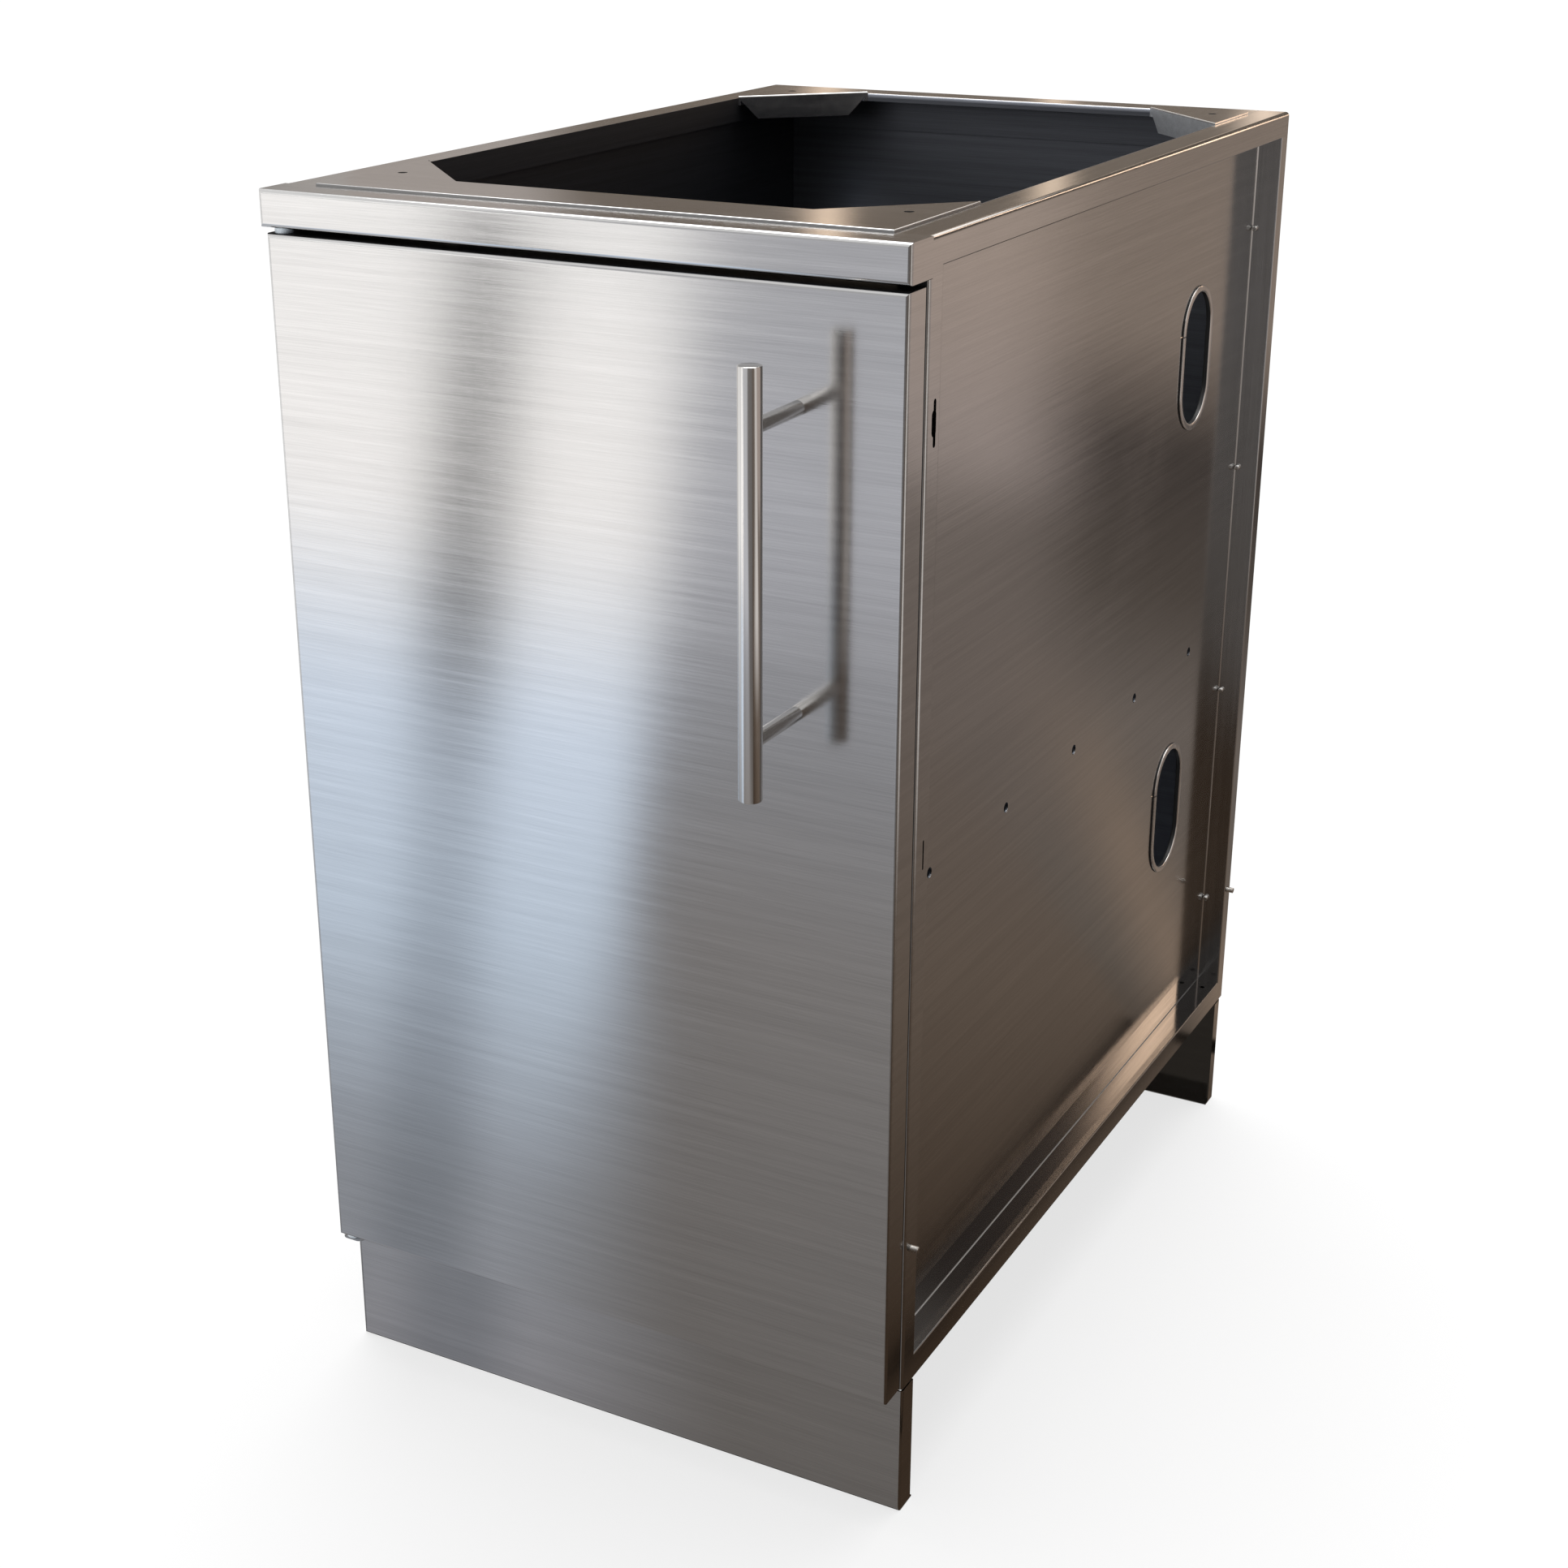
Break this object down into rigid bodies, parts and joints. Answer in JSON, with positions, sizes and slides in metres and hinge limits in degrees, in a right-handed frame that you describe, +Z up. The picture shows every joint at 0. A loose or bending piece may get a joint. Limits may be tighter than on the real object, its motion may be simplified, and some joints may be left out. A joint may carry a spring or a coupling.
{
  "type": "single door cabinet",
  "caption": "Stainless steel base cabinet with an open top, recessed side panels, plinth kicks and a pivot-hung door with a bar handle.",
  "frame": {"origin": "centre of the bounding box footprint on the floor, handle and bolt ends included", "axes": "+X to the cabinet's right as seen from the front, +Y from the door to the back, +Z up"},
  "size_m": [0.4626, 0.7691, 0.8735],
  "materials": {
    "frame_sheet": "brushed",
    "panel_sheet": "brushed",
    "kick_sheet": "brushed",
    "door_sheet": "brushed",
    "handle_steel": "satin",
    "fastener_steel": "bright",
    "hinge_steel": "plain",
    "bush_nylon": "moulded",
    "catch_plastic": "moulded",
    "catch_magnet": "ground",
    "bumper_rubber": "moulded",
    "trim_plastic": "extruded"
  },
  "bodies": {
    "carcass": {"front_rail": "frame_sheet", "rear_rail": "frame_sheet", "front_stretcher": "frame_sheet", "floor_panel": "panel_sheet", "back_panel": "panel_sheet", "toe_kick": "kick_sheet", "rear_kick": "kick_sheet", "back_panel_screws": "fastener_steel", "joining_bolts": "fastener_steel", "catch_body": "catch_plastic", "catch_magnet": "catch_magnet", "catch_screws": "fastener_steel", "hinge_pin_top": "fastener_steel", "hinge_pin_bottom": "fastener_steel", "hinge_bracket": "hinge_steel", "hinge_bracket_screws": "fastener_steel", "right_front_stile": "frame_sheet", "right_rear_stile": "frame_sheet", "right_top_rail": "frame_sheet", "right_bottom_rail": "frame_sheet", "right_side_panel": "panel_sheet", "right_pass_trims": "trim_plastic", "right_rear_gusset": "frame_sheet", "left_front_stile": "frame_sheet", "left_rear_stile": "frame_sheet", "left_top_rail": "frame_sheet", "left_bottom_rail": "frame_sheet", "left_side_panel": "panel_sheet", "left_pass_trims": "trim_plastic", "left_rear_gusset": "frame_sheet"},
    "door": {"door_skin": "door_sheet", "door_liner": "door_sheet", "door_bumpers": "bumper_rubber", "strike_plate": "hinge_steel", "strike_rivets": "fastener_steel", "hinge_blocks": "hinge_steel", "hinge_bushes": "bush_nylon", "handle_bar": "handle_steel", "handle_posts": "handle_steel", "handle_spacers": "hinge_steel", "handle_screws": "fastener_steel"}
  },
  "joints": [
    {"name": "door_hinge", "type": "hinge", "parent": "carcass", "child": "door", "pos_m": [-0.21875, -0.31025, 0.474], "axis": [0, 0, -1], "range_deg": [0, 110]}
  ]
}
